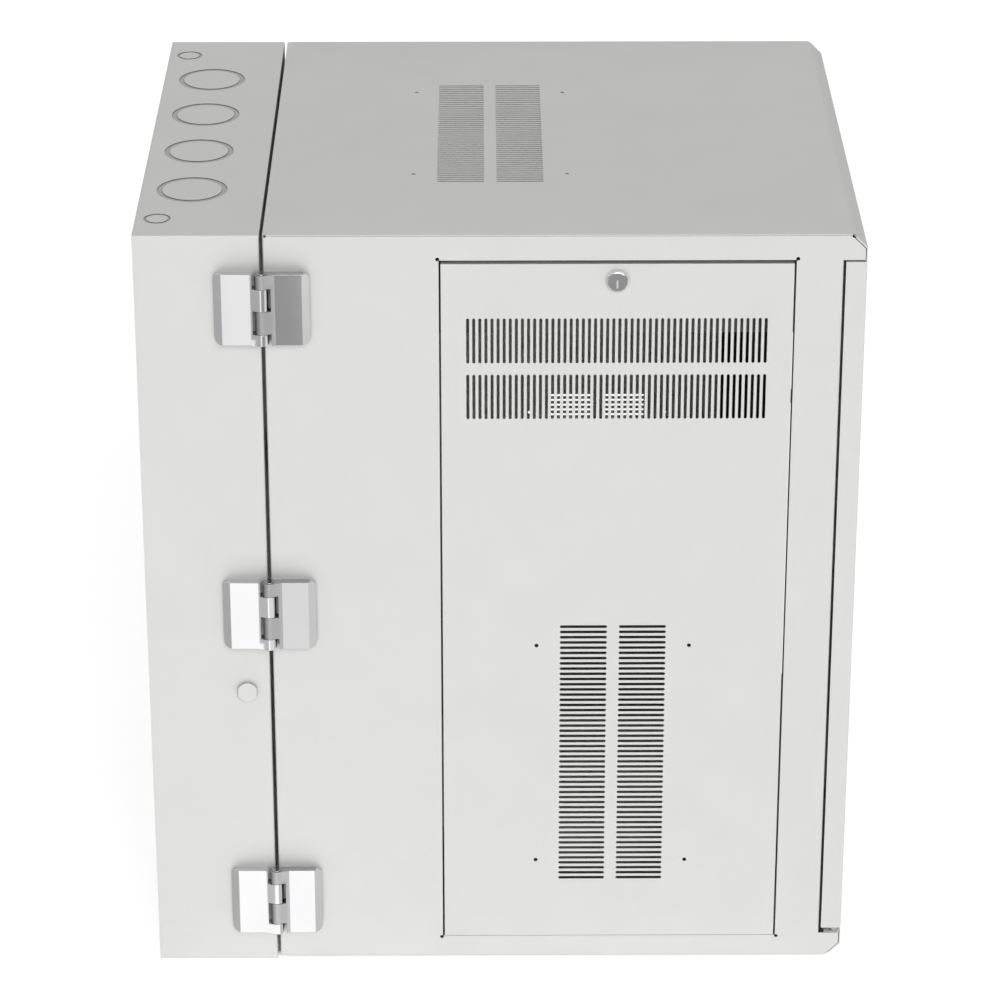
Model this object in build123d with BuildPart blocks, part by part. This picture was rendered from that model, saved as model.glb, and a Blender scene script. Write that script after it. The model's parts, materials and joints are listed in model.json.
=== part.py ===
"""Wall mount network cabinet: a wall section, and a cabinet body that swings out from it.

Millimetres. X runs across the width, the wall is at Y = 0 with the front towards -Y, and Z is up.
The origin is the centre of the wall bolts, in the plane of the wall.
"""
import os

from build123d import *

os.makedirs("parts", exist_ok=True)

# Overall sizes
width = 610.0
height = 838.0
wall_depth = 127.0
section_gap = 3.4
body_depth = 605.6
body_lift = 3.0

# Sheet metal
sheet = 1.5
bend = 2.0
edge_round = 1.2
lip = 16.0
weld_gap = 0.2
seam = 0.8
touch = 0.05

# Wall bolts and the cable cut-out in the back
stud_spacing = 406.4
bolt_inset = 38.0
bolt_hole_r = 5.5
cutout_width = 300.0
cutout_height = 200.0
cutout_corner_r = 8.0

# Knockouts in the ends of the wall section
large_knockout_r = 36.2
large_knockout_pitch = 115.4
large_knockout_depth = 52.4
large_groove = 5.6
small_knockout_r = 13.7
small_knockout_inset = 48.35
small_knockout_depth = 22.4
small_groove = 2.6
groove_depth = 0.9

# Front edge of roof and floor
front_slope = 14.3
front_rail = 27.3
rail_return = 18.0
slope_relief_r = 2.0
slope_relief_drop = 1.7
rear_relief_r = 1.65
rear_relief_drop = 0.8
rear_relief_setback = 2.1
relief_reach = 2.5

# Opening for the side panel, with the strips of sheet that border it
border_rear = 175.8
border_front = 71.0
border_top = 27.1
border_bottom = 25.0
opening_flange = 18.5
flange_inset = 6.0
opening_relief_r = 2.0
opening_relief_out = 1.2

# Side panel
panel_gap = 2.0
panel_top_gap = 3.85
panel_sill_gap = 0.6
panel_return = 10.0
hook_width = 30.0
hook_spread = 220.0
hook_lap = 10.0
hook_drop = 11.6
hook_play = 0.3

# Vent slots
slot_width = 3.1
slot_length = 49.0
slot_pitch = 6.14
slot_count = 50
slot_margin = 23.0
column_pitch = 61.5
upper_vent_below_top = 144.9
lower_vent_above_bottom = 247.8
roof_vent_from_rear = 228.2

# Fan holes
fan_spacing_short = 159.4
fan_spacing_long = 257.0
fan_hole_r = 2.1

# Body hinges
hinge_height = 76.0
hinge_from_end = 76.5
hinge_axis_proud = 7.0
barrel_r = 6.8
leaf_reach = 48.0
leaf_edge = 3.0
pad_outer = 40.5
pad_inner = 13.4
pad_proud = 9.5
leaf_slit = 9.4
leaf_corner_r = 6.0
knuckle_cuts = (14.8, 38.8, 63.7)
washer = 0.7
washer_play = 0.05
washer_r = 6.3
hinge_pin_r = 3.0
hinge_pin_head_r = 5.0
hinge_pin_head = 1.0
running = 0.05

# Hinge screws
screw_r = 2.9
screw_head_r = 5.0
screw_head = 3.5
screw_depth = 6.5
screw_hole_play = 0.3
screw_spread = 44.0
screw_reach = 27.0

# Key locks
lock_face_r = 12.1
lock_face = 3.5
lock_face_taper = 25.0
lock_body_r = 8.0
lock_hole_play = 0.15
lock_plug_r = 6.5
lock_plug_recess = 0.1
lock_grip = 20.0
lock_nut_r = 12.5
lock_nut = 5.0
key_slot_width = 2.0
key_slot_length = 8.5
key_slot_rise = 1.9
key_slot_depth = 0.5
cam_length = 34.0
cam_hub_r = 8.0
cam_tip_r = 5.5
cam_thickness = 2.0
cam_gap = 0.3
cam_tang = 7.4
cam_stake_r = 6.0
cam_stake = 1.0
panel_lock_below_top = 18.5
swing_lock_setback = 24.3
swing_lock_below_middle = 93.1
hole_plug_r = 10.8
hole_plug_flat = 9.7
hole_plug_proud = 3.0
hole_plug_stem = 6.0

# Swing strike
strike_height = 20.0
strike_play = 0.8
strike_clear = 2.0
strike_foot = 23.0

# Rack rails, spaced for 19 inch equipment at this width
rack_unit = 44.45
rack_hole_steps = (6.35, 22.225, 38.1)
rack_hole = 9.5
rack_hole_inset = 15.5
rack_end_room = 100.0
rail_sheet = 2.0
rail_side_room = 56.95
rail_flange = 22.8
rail_web = 35.0
rail_end = 14.0
rail_behind_front = 76.0
support_web = 126.5
support_flange = 30.0
support_behind_front = 36.0
support_end_gap = 19.6
rail_screw_above_end = 30.0
rail_screw_pitch = 16.0

# Front door
door_depth = 21.4
door_gap = 2.4
door_top_gap = 2.0
door_bottom_gap = 6.6
door_pin_side = 6.5
door_pin_front = 7.0
door_pin_r = 3.0
door_pin_length = 20.0
door_pin_head_r = 4.3
door_pin_head = 1.5
window_lock_clear = 6.0
window_border_end = 72.0
window_overlap = 14.0
window_corner_r = 8.0
window_sheet = 3.0
gasket_sheet = 1.5
gasket_width = 10.0
retainer_foot = 12.0
retainer_lap = 8.0
retainer_sheet = 1.0
door_lock_inset = 54.0
door_lock_clear = 1.0

# Door strike
door_strike_width = 27.0
door_strike_height = 40.0
door_strike_inset = 4.0
door_strike_corner_r = 3.0

# Places worked out from the sizes
left = -width / 2
top = height / 2
bottom = -height / 2
wall_front = -wall_depth
body_rear = wall_front - section_gap
front = body_rear - body_depth
body_bottom = bottom + body_lift
bolt_rise = height - 2 * bolt_inset
hinge_x = left - hinge_axis_proud
hinge_y = wall_front - section_gap / 2
hinge_spacing = height / 2 - hinge_from_end
hinge_levels = {"upper": hinge_spacing, "middle": 0.0, "lower": -hinge_spacing}
post_front = front + door_depth + door_gap
rail_edge = top - front_rail
sill_edge = body_bottom + front_rail
opening_rear = body_rear - border_rear
opening_front = front + border_front
opening_high = top - border_top
opening_low = body_bottom + border_bottom
opening_middle = (opening_rear + opening_front) / 2
panel_high = opening_high - panel_top_gap
panel_low = opening_low + panel_sill_gap
panel_length = opening_rear - opening_front - 2 * panel_gap
panel_height = panel_high - panel_low
panel_slot_count = int((panel_length - 2 * slot_margin) // slot_pitch)
swing_lock_y = wall_front + swing_lock_setback
swing_lock_z = -swing_lock_below_middle
panel_lock_z = panel_high - panel_lock_below_top
rail_face = front + rail_behind_front
rack_units = int((height - rack_end_room) // rack_unit)
rail_height = rack_units * rack_unit + 2 * rail_end
rail_outer = width / 2 - rail_side_room
rack_hole_x = rail_outer - rack_hole_inset
support_length = body_depth - support_behind_front - support_end_gap
body_middle = (top + body_bottom) / 2
door_high = rail_edge - door_top_gap
door_low = sill_edge + door_bottom_gap
door_height = door_high - door_low
door_middle = (door_high + door_low) / 2
door_lock_x = width / 2 - door_lock_inset
door_pin_x = left + door_pin_side
door_pin_y = front + door_pin_front


def save(piece, name):
    """Label a piece and write it."""
    piece.label = name
    export_step(piece, f"parts/{name}.step")


def side_plane(side, depth=0.0):
    """Plane of a side, side -1 on the left and 1 on the right, with Y and Z as its own axes."""
    return Plane.YZ.offset(side * (width / 2 - depth))


def lock_plane(side, y, z):
    """Plane of a lock face on a side wall, facing outwards with Z up."""
    return Plane(origin=(side * width / 2, y, z), x_dir=(0, side, 0), z_dir=(side, 0, 0))


def fold(points, turn, thickness=sheet):
    """Section of a sheet that is folded along its outer points, with its body on the turn side."""
    with BuildSketch() as section:
        with BuildLine():
            outer = FilletPolyline(*points, radius=bend)
            offset(outer, amount=thickness, side=turn)
        make_face()
    return section.sketch


# Wall section

with BuildPart() as wall_back_panel:
    with BuildSketch(Plane.XZ):
        Rectangle(width, height)
        with GridLocations(stud_spacing, bolt_rise, 2, 2):
            Circle(bolt_hole_r, mode=Mode.SUBTRACT)
        RectangleRounded(cutout_width, cutout_height, cutout_corner_r, mode=Mode.SUBTRACT)
    extrude(amount=sheet)
save(wall_back_panel.part, "wall_back_panel")


def knockout_rows():
    """Centre, radius and groove width of each knockout in an end of the wall section."""
    large = [((i - 1.5) * large_knockout_pitch, -large_knockout_depth) for i in range(4)]
    small = [(side * (width / 2 - small_knockout_inset), -small_knockout_depth) for side in (-1, 1)]
    rows = [(place, large_knockout_r, large_groove) for place in large]
    return rows + [(place, small_knockout_r, small_groove) for place in small]


def wall_end_panel(face, inward):
    """End sheet of the wall section with its outer face at a height, folded inward at the front."""
    depth = wall_depth - sheet
    with BuildPart() as panel:
        with BuildSketch(Plane.XY.offset(face)):
            with Locations((0, -sheet - depth / 2)):
                Rectangle(width, depth)
        extrude(amount=inward * sheet)
        with BuildSketch(Plane.XZ.offset(wall_depth)):
            with Locations((0, face + inward * lip / 2)):
                Rectangle(width - 2 * sheet - 2 * weld_gap, lip)
        extrude(amount=-sheet)
        outer = panel.faces().sort_by(Axis.Z)[0 if inward > 0 else -1]
        fillet(outer.edges().filter_by(Axis.Y), radius=edge_round)
        for (x, y), r, groove in knockout_rows():
            with BuildSketch(Plane.XZ.offset(-y)):
                with Locations((x + r - groove / 2, face + inward * groove_depth / 2)):
                    Rectangle(groove, groove_depth)
            revolve(axis=Axis((x, y, face), (0, 0, 1)), mode=Mode.SUBTRACT)
    return panel.part


save(wall_end_panel(top, -1), "wall_top_panel")
save(wall_end_panel(bottom, 1), "wall_bottom_panel")


def wall_side(side):
    """Side sheet of the wall section, folded inward at the front, with the lock hole."""
    edge = side * width / 2
    points = ((edge, -sheet), (edge, wall_front), (edge - side * lip, wall_front))
    with BuildPart() as panel:
        with BuildSketch(Plane.XY.offset(bottom + sheet)):
            add(fold(points, Side.LEFT if side < 0 else Side.RIGHT))
        extrude(amount=height - 2 * sheet)
        for low in (bottom + sheet, top - sheet - lip):
            with BuildSketch(Plane.XZ.offset(wall_depth)):
                with Locations((edge - side * (sheet + lip / 2), low + lip / 2)):
                    Rectangle(lip, lip)
            extrude(amount=-sheet - bend, mode=Mode.SUBTRACT)
        with BuildSketch(side_plane(side)):
            with Locations((swing_lock_y, swing_lock_z)):
                Circle(lock_body_r + lock_hole_play)
            if side < 0:
                for level in hinge_levels.values():
                    with Locations((hinge_y + screw_reach, level)):
                        with GridLocations(0, screw_spread, 1, 2):
                            Circle(screw_r + screw_hole_play)
        extrude(amount=-side * sheet, mode=Mode.SUBTRACT)
    return panel.part


save(wall_side(-1), "wall_left_side")
save(wall_side(1), "wall_right_side")

with BuildPart() as lock_hole_plug:
    with BuildSketch(lock_plane(-1, swing_lock_y, swing_lock_z)):
        Circle(hole_plug_r)
        Rectangle(2 * hole_plug_flat, 2 * hole_plug_r, mode=Mode.INTERSECT)
    extrude(amount=hole_plug_proud)
    with BuildSketch(lock_plane(-1, swing_lock_y, swing_lock_z)):
        Circle(lock_body_r)
    extrude(amount=-hole_plug_stem)
save(lock_hole_plug.part, "lock_hole_plug")

# Body hinges: the wall leaf holds the pin, and the body leaf turns on it

knuckle_ends = (0.0, *knuckle_cuts, hinge_height)
knuckle_gap = washer / 2 + washer_play


def leaf_neck():
    """Section of a leaf from its pad up to its barrel."""
    with BuildSketch() as neck:
        with BuildLine():
            Line((pad_inner, 0), (pad_inner, pad_proud))
            CenterArc((0, hinge_axis_proud), barrel_r, 0, 360)
        make_hull()
    return neck.sketch


def hinge_leaf(direction, level):
    """Die-cast leaf, direction 1 towards the wall and -1 towards the front."""
    plane = Plane(
        origin=(left, hinge_y, level - direction * hinge_height / 2),
        x_dir=(0, direction, 0),
        z_dir=(0, 0, direction),
    )
    first_own = 0 if direction < 0 else 1
    bore_r = hinge_pin_r + (running if direction < 0 else running / 2)
    with BuildPart() as leaf:
        with BuildSketch(plane):
            with BuildLine():
                Polyline(
                    (pad_inner, 0),
                    (leaf_reach, 0),
                    (leaf_reach, leaf_edge),
                    (pad_outer, pad_proud),
                    (pad_inner, pad_proud),
                    close=True,
                )
            make_face()
            add(leaf_neck())
        extrude(amount=hinge_height)
        with BuildSketch(side_plane(-1)):
            with Locations((hinge_y + direction * (leaf_reach - leaf_slit) / 2, level)):
                Rectangle(leaf_reach + leaf_slit, hinge_height)
            corners = [v for v in vertices() if abs(v.Y - hinge_y) > leaf_reach - leaf_slit]
            fillet(corners, radius=leaf_corner_r)
        extrude(amount=-2 * hinge_axis_proud, mode=Mode.INTERSECT)
        for i in range(4):
            if i % 2 == first_own:
                continue
            high = level + hinge_height / 2 - knuckle_ends[i] + (knuckle_gap if i > 0 else 0)
            low = level + hinge_height / 2 - knuckle_ends[i + 1] - (knuckle_gap if i < 3 else 0)
            with BuildSketch(Plane.XY.offset(low)):
                with Locations((hinge_x, hinge_y)):
                    Rectangle(4 * barrel_r, 2 * leaf_slit)
            extrude(amount=high - low, mode=Mode.SUBTRACT)
        with BuildSketch(Plane.XY.offset(level)):
            with Locations((hinge_x, hinge_y)):
                Circle(bore_r)
        extrude(amount=hinge_height, both=True, mode=Mode.SUBTRACT)
        with BuildSketch(side_plane(-1)):
            with Locations((hinge_y + direction * screw_reach, level)):
                with GridLocations(0, screw_spread, 1, 2):
                    Circle(screw_r + touch)
        extrude(amount=-screw_depth - touch, mode=Mode.SUBTRACT)
    return leaf.part


def hinge_pin(level):
    """Pin with a flat head that lies on the top knuckle."""
    with BuildPart() as pin:
        with BuildSketch(Plane.XY.offset(level - hinge_height / 2)):
            with Locations((hinge_x, hinge_y)):
                Circle(hinge_pin_r)
        extrude(amount=hinge_height + washer_play)
        with BuildSketch(Plane.XY.offset(level + hinge_height / 2 + washer_play)):
            with Locations((hinge_x, hinge_y)):
                Circle(hinge_pin_head_r)
        extrude(amount=hinge_pin_head)
    return pin.part


for place, level in hinge_levels.items():
    save(hinge_leaf(1, level), f"hinge_wall_leaf_{place}")
    save(hinge_leaf(-1, level), f"hinge_body_leaf_{place}")
    save(hinge_pin(level), f"hinge_pin_{place}")

with BuildPart() as hinge_washers:
    for level in hinge_levels.values():
        for cut in knuckle_cuts:
            with BuildSketch(Plane.XY.offset(level + hinge_height / 2 - cut - washer / 2)):
                with Locations((hinge_x, hinge_y)):
                    Circle(washer_r)
                    Circle(hinge_pin_r + running, mode=Mode.SUBTRACT)
            extrude(amount=washer)
save(hinge_washers.part, "hinge_washers")


def hinge_screws(direction):
    """Screws that hold the leaves of one section from inside the sheet."""
    with BuildPart() as screws:
        for level in hinge_levels.values():
            for radius, length in ((screw_r, -sheet - screw_depth), (screw_head_r, screw_head)):
                with BuildSketch(side_plane(-1, sheet)):
                    with Locations((hinge_y + direction * screw_reach, level)):
                        with GridLocations(0, screw_spread, 1, 2):
                            Circle(radius)
                extrude(amount=length)
    return screws.part


save(hinge_screws(1), "wall_hinge_screws")
save(hinge_screws(-1), "body_hinge_screws")

# Key locks: a housing with its nut, and a plug that turns in it with the cam on its end


def lock_housing(plane, grip):
    """Housing with a tapered face that bears on the sheet."""
    with BuildPart() as housing:
        with BuildSketch(plane):
            Circle(lock_face_r)
        extrude(amount=lock_face, taper=lock_face_taper)
        with BuildSketch(plane):
            Circle(lock_body_r)
        extrude(amount=-grip)
        with BuildSketch(plane.offset(lock_face)):
            Circle(lock_plug_r + running)
        extrude(amount=-lock_face - grip, mode=Mode.SUBTRACT)
    return housing.part


def lock_ring_nut(plane):
    """Flat hexagon nut behind the sheet."""
    with BuildPart() as nut:
        with BuildSketch(plane.offset(-sheet)):
            RegularPolygon(lock_nut_r, 6)
            Circle(lock_body_r + touch, mode=Mode.SUBTRACT)
        extrude(amount=-lock_nut)
    return nut.part


def lock_plug(plane, grip):
    """Plug with a key slot, and a square tang that is staked over behind the cam."""
    cam_front = -grip - cam_gap
    tang_end = cam_front - cam_thickness - touch
    with BuildPart() as plug:
        with BuildSketch(plane.offset(cam_front)):
            Circle(lock_plug_r)
        extrude(amount=lock_face - lock_plug_recess - cam_front)
        with BuildSketch(plane.offset(tang_end)):
            Rectangle(cam_tang, cam_tang)
        extrude(amount=cam_front - tang_end)
        with BuildSketch(plane.offset(tang_end)):
            Circle(cam_stake_r)
        extrude(amount=-cam_stake)
        with BuildSketch(plane.offset(lock_face)):
            with Locations((0, key_slot_rise - key_slot_length / 2)):
                Rectangle(key_slot_width, key_slot_length)
        extrude(amount=-key_slot_depth, mode=Mode.SUBTRACT)
    return plug.part


def lock_cam(plane, grip):
    """Flat cam that hangs down when the lock is open."""
    with BuildPart() as cam:
        with BuildSketch(plane.offset(-grip - cam_gap)):
            with BuildLine():
                CenterArc((0, 0), cam_hub_r, 0, 360)
                CenterArc((0, cam_tip_r - cam_length), cam_tip_r, 0, 360)
            make_hull()
            Rectangle(cam_tang + 2 * touch, cam_tang + 2 * touch, mode=Mode.SUBTRACT)
        extrude(amount=-cam_thickness)
    return cam.part


door_grip = post_front - front + 2 * sheet + door_lock_clear - cam_gap
door_lock_face = Plane(origin=(door_lock_x, front, door_middle), x_dir=(1, 0, 0), z_dir=(0, -1, 0))
locks = {
    "swing": (lock_plane(1, swing_lock_y, swing_lock_z), lock_grip),
    "left": (lock_plane(-1, opening_middle, panel_lock_z), lock_grip),
    "right": (lock_plane(1, opening_middle, panel_lock_z), lock_grip),
    "door": (door_lock_face, door_grip),
}
for place, (plane, grip) in locks.items():
    save(lock_housing(plane, grip), f"{place}_lock_housing")
    save(lock_ring_nut(plane), f"{place}_lock_nut")
    save(lock_plug(plane, grip), f"{place}_lock_plug")
    save(lock_cam(plane, grip), f"{place}_lock_cam")

# Roof and floor of the body, each with a sloped front edge and a front rail


def vent(columns_along_x, count):
    """Two columns of slots round the origin, side by side along X or along Y."""
    with BuildSketch() as slots:
        if columns_along_x:
            with GridLocations(column_pitch, slot_pitch, 2, count):
                Rectangle(slot_length, slot_width)
        else:
            with GridLocations(slot_pitch, column_pitch, count, 2):
                Rectangle(slot_width, slot_length)
    return slots.sketch


def corner_reliefs(face, inward):
    """Relief holes at the ends of an edge between an end sheet and a side: place in Y and Z, and radius."""
    return (
        ((front + front_slope, face + inward * slope_relief_drop), slope_relief_r),
        ((body_rear - rear_relief_setback, face + inward * rear_relief_drop), rear_relief_r),
    )


def end_panel(face, inward, vented):
    """End sheet of the body with its outer face at a height."""
    points = (
        (body_rear, face),
        (front + front_slope, face),
        (front, face + inward * front_slope),
        (front, face + inward * front_rail),
    )
    inner_width = width - 2 * sheet - 2 * weld_gap
    with BuildPart() as panel:
        with BuildSketch(Plane.YZ):
            add(fold(points, Side.LEFT if inward < 0 else Side.RIGHT))
        extrude(amount=width / 2, both=True)
        outer = panel.faces().sort_by(Axis.Z)[0 if inward > 0 else -1]
        fillet(outer.edges().filter_by(Axis.Y), radius=edge_round)
        with BuildSketch(Plane.XZ.offset(-body_rear)):
            with Locations((0, face + inward * lip / 2)):
                Rectangle(inner_width, lip)
        extrude(amount=sheet)
        with BuildSketch(Plane.XY.offset(face + inward * front_rail)):
            with Locations((0, front + rail_return / 2)):
                Rectangle(inner_width, rail_return)
            with Locations((door_pin_x, door_pin_y)):
                Circle(door_pin_r + touch, mode=Mode.SUBTRACT)
        extrude(amount=-inward * sheet)
        for side in (-1, 1):
            with BuildSketch(side_plane(side)):
                for place, r in corner_reliefs(face, inward):
                    with Locations(place):
                        Circle(r)
            extrude(amount=-side * relief_reach, mode=Mode.SUBTRACT)
        if vented:
            with BuildSketch(Plane.XY.offset(face)):
                with Locations((0, body_rear - roof_vent_from_rear)):
                    add(vent(False, slot_count))
                    with GridLocations(fan_spacing_long, fan_spacing_short, 2, 2):
                        Circle(fan_hole_r)
            extrude(amount=inward * sheet, mode=Mode.SUBTRACT)
    return panel.part


save(end_panel(top, -1, vented=True), "roof_panel")
save(end_panel(body_bottom, 1, vented=False), "floor_panel")

# Sides of the body

horn_setback = sheet + seam
horn_slope = front_slope + horn_setback * 2**0.5


def horn(face, edge, inward):
    """Outline of the part of a side that reaches forward over the end of the door."""
    flat = face + inward * sheet
    root = post_front + lip
    return (
        (root, flat),
        (front + horn_slope - sheet, flat),
        (front + horn_setback, face + inward * (horn_slope - horn_setback)),
        (front + horn_setback, edge),
        (root, edge),
    )


def side_frame(side):
    """Side sheet of the body, folded inward at the rear, at the front and round the panel's opening."""
    edge = side * width / 2
    fold_end = edge - side * lip
    low = body_bottom + sheet
    high = top - sheet
    points = ((fold_end, body_rear), (edge, body_rear), (edge, post_front), (fold_end, post_front))
    opening_height = opening_high - opening_low
    opening_level = (opening_high + opening_low) / 2
    opening_length = opening_rear - opening_front
    relief_length = opening_length + 2 * opening_relief_out
    relief_height = opening_height + 2 * opening_relief_out
    with BuildPart() as frame:
        with BuildSketch(Plane.XY.offset(low)):
            add(fold(points, Side.LEFT if side < 0 else Side.RIGHT))
        extrude(amount=high - low)
        with BuildSketch(side_plane(side)):
            for outline in (horn(top, rail_edge, -1), horn(body_bottom, sill_edge, 1)):
                with BuildLine():
                    Polyline(*outline, close=True)
                make_face()
        extrude(amount=-side * sheet)
        for end in (low, high - lip):
            with BuildSketch(Plane.XZ.offset(-body_rear)):
                with Locations((edge - side * (sheet + lip / 2), end + lip / 2)):
                    Rectangle(lip, lip)
            extrude(amount=sheet + bend, both=True, mode=Mode.SUBTRACT)
        with BuildSketch(side_plane(side)):
            with Locations((opening_middle, opening_level)):
                Rectangle(opening_length, opening_height)
                with GridLocations(relief_length, relief_height, 2, 2):
                    Circle(opening_relief_r)
            for face, inward in ((top, -1), (body_bottom, 1)):
                for place, r in corner_reliefs(face, inward):
                    with Locations(place):
                        Circle(r)
            if side < 0:
                for level in hinge_levels.values():
                    with Locations((hinge_y - screw_reach, level)):
                        with GridLocations(0, screw_spread, 1, 2):
                            Circle(screw_r + screw_hole_play)
        extrude(amount=-side * sheet, mode=Mode.SUBTRACT)
        with BuildSketch(side_plane(side)):
            with Locations((opening_middle, opening_level)):
                with GridLocations(opening_length + sheet, 0, 2, 1):
                    Rectangle(sheet, opening_height - 2 * flange_inset)
            with Locations((opening_middle, opening_high + sheet / 2)):
                Rectangle(opening_length - 2 * flange_inset, sheet)
        extrude(amount=-side * opening_flange)
    return frame.part


save(side_frame(-1), "left_side_frame")
save(side_frame(1), "right_side_frame")


def side_panel(side):
    """Lift-out panel with vents, folded inward at three edges and hooked over the sill."""
    middle = (panel_high + panel_low) / 2
    return_height = panel_height - sheet
    with BuildPart() as panel:
        with BuildSketch(side_plane(side)):
            with Locations((opening_middle, middle)):
                Rectangle(panel_length, panel_height)
            with Locations((opening_middle, top - upper_vent_below_top)):
                add(vent(False, panel_slot_count), mode=Mode.SUBTRACT)
            with Locations((opening_middle, body_bottom + lower_vent_above_bottom)):
                add(vent(True, slot_count), mode=Mode.SUBTRACT)
                with GridLocations(fan_spacing_short, fan_spacing_long, 2, 2):
                    Circle(fan_hole_r, mode=Mode.SUBTRACT)
            with Locations((opening_middle, panel_lock_z)):
                Circle(lock_body_r + lock_hole_play, mode=Mode.SUBTRACT)
        extrude(amount=-side * sheet)
        with BuildSketch(side_plane(side)):
            with Locations((opening_middle, middle)):
                Rectangle(panel_length, panel_height)
            with Locations((opening_middle, panel_low + return_height / 2)):
                Rectangle(panel_length - 2 * sheet, return_height, mode=Mode.SUBTRACT)
        extrude(amount=-side * panel_return)
        with BuildSketch(side_plane(side, sheet)):
            with Locations((opening_middle, panel_low + hook_lap / 2)):
                with GridLocations(hook_spread, 0, 2, 1):
                    Rectangle(hook_width, hook_lap)
        extrude(amount=-side * (hook_play + sheet))
        with BuildSketch(side_plane(side, sheet + hook_play)):
            with Locations((opening_middle, panel_low + (hook_lap - hook_drop) / 2)):
                with GridLocations(hook_spread, 0, 2, 1):
                    Rectangle(hook_width, hook_lap + hook_drop)
        extrude(amount=-side * sheet)
    return panel.part


save(side_panel(-1), "left_side_panel")
save(side_panel(1), "right_side_panel")

# Swing strike: a folded hook on the body whose lip lies behind the swing lock's cam

strike_arm = width / 2 - lock_grip - cam_gap - cam_thickness - cam_stake - strike_clear
strike_lip = swing_lock_y + cam_hub_r + strike_play
strike_back = body_rear - sheet
cam_rise = (cam_length**2 - (swing_lock_y - strike_back) ** 2) ** 0.5
strike_low = swing_lock_z + cam_rise + strike_clear
strike_points = (
    (strike_arm - sheet + strike_foot, strike_back - sheet),
    (strike_arm - sheet, strike_back - sheet),
    (strike_arm - sheet, strike_lip + sheet),
    (width / 2 - lip - strike_clear, strike_lip + sheet),
)
with BuildPart() as swing_strike:
    with BuildSketch(Plane.XY.offset(strike_low)):
        add(fold(strike_points, Side.RIGHT))
    extrude(amount=strike_height)
save(swing_strike.part, "swing_strike")

# Door strike: a plate behind the lip of the right post, which the door lock's cam turns behind

with BuildPart() as door_strike:
    with BuildSketch(Plane.XZ.offset(-post_front - sheet)):
        with Locations((width / 2 - door_strike_inset - door_strike_width / 2, door_middle)):
            RectangleRounded(door_strike_width, door_strike_height, door_strike_corner_r)
    extrude(amount=-sheet)
save(door_strike.part, "door_strike")

# Rack rails and the supports that carry them

rack_low = body_middle - rack_units * rack_unit / 2
rack_levels = [rack_low + unit * rack_unit + step for unit in range(rack_units) for step in rack_hole_steps]
rail_ends = {"upper": (body_middle + rail_height / 2, -1), "lower": (body_middle - rail_height / 2, 1)}
rail_screw_y = rail_face + rail_web / 2


def rail_screw_spots(end, inward):
    """Heights of the two screws at one end of a rail."""
    first = end + inward * rail_screw_above_end
    return (first, first + inward * rail_screw_pitch)


def rack_rail(side):
    """Rail with its square holes in the front flange."""
    points = (
        (side * (rail_outer - rail_flange), rail_face),
        (side * rail_outer, rail_face),
        (side * rail_outer, rail_face + rail_web),
    )
    with BuildPart() as rail:
        with BuildSketch(Plane.XY.offset(body_middle - rail_height / 2)):
            add(fold(points, Side.LEFT if side > 0 else Side.RIGHT, rail_sheet))
        extrude(amount=rail_height)
        with BuildSketch(Plane.XZ.offset(-rail_face)):
            with Locations(*[(side * rack_hole_x, level) for level in rack_levels]):
                Rectangle(rack_hole, rack_hole)
        extrude(amount=-rail_sheet, mode=Mode.SUBTRACT)
        with BuildSketch(Plane.YZ.offset(side * rail_outer)):
            for end, inward in rail_ends.values():
                with Locations(*[(rail_screw_y, level) for level in rail_screw_spots(end, inward)]):
                    Circle(screw_r + touch)
        extrude(amount=-side * rail_sheet, mode=Mode.SUBTRACT)
    return rail.part


def rail_support(side, place):
    """Folded bracket under the roof or on the floor, against the rail's web."""
    end, inward = rail_ends[place]
    face = top - sheet if inward < 0 else body_bottom + sheet
    inner = side * rail_outer
    points = ((inner, face + inward * support_web), (inner, face), (inner + side * support_flange, face))
    turn = Side.RIGHT if side * inward < 0 else Side.LEFT
    with BuildPart() as support:
        with BuildSketch(Plane.XZ.offset(-front - support_behind_front)):
            add(fold(points, turn))
        extrude(amount=-support_length)
        with BuildSketch(Plane.YZ.offset(inner)):
            with Locations(*[(rail_screw_y, level) for level in rail_screw_spots(end, inward)]):
                Circle(screw_r + touch)
        extrude(amount=side * sheet, mode=Mode.SUBTRACT)
    return support.part


sides = {"left": -1, "right": 1}
for name, side in sides.items():
    save(rack_rail(side), f"rail_{name}")
    for place in rail_ends:
        save(rail_support(side, place), f"rail_support_{place}_{name}")

with BuildPart() as rail_screws:
    for side in sides.values():
        for end, inward in rail_ends.values():
            for radius, length in ((screw_r, rail_sheet + sheet + screw_head), (screw_head_r, -screw_head)):
                with BuildSketch(Plane.YZ.offset(side * (rail_outer - rail_sheet))):
                    with Locations(*[(rail_screw_y, level) for level in rail_screw_spots(end, inward)]):
                        Circle(radius)
                extrude(amount=side * length)
save(rail_screws.part, "rail_screws")

# Front door: a folded tray with a window, on two pins

window_border_side = door_lock_inset + lock_nut_r + window_lock_clear + retainer_foot + window_overlap
window_width = width - 2 * window_border_side
window_height = door_height - 2 * window_border_end
pane_width = window_width + 2 * window_overlap
pane_height = window_height + 2 * window_overlap

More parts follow.
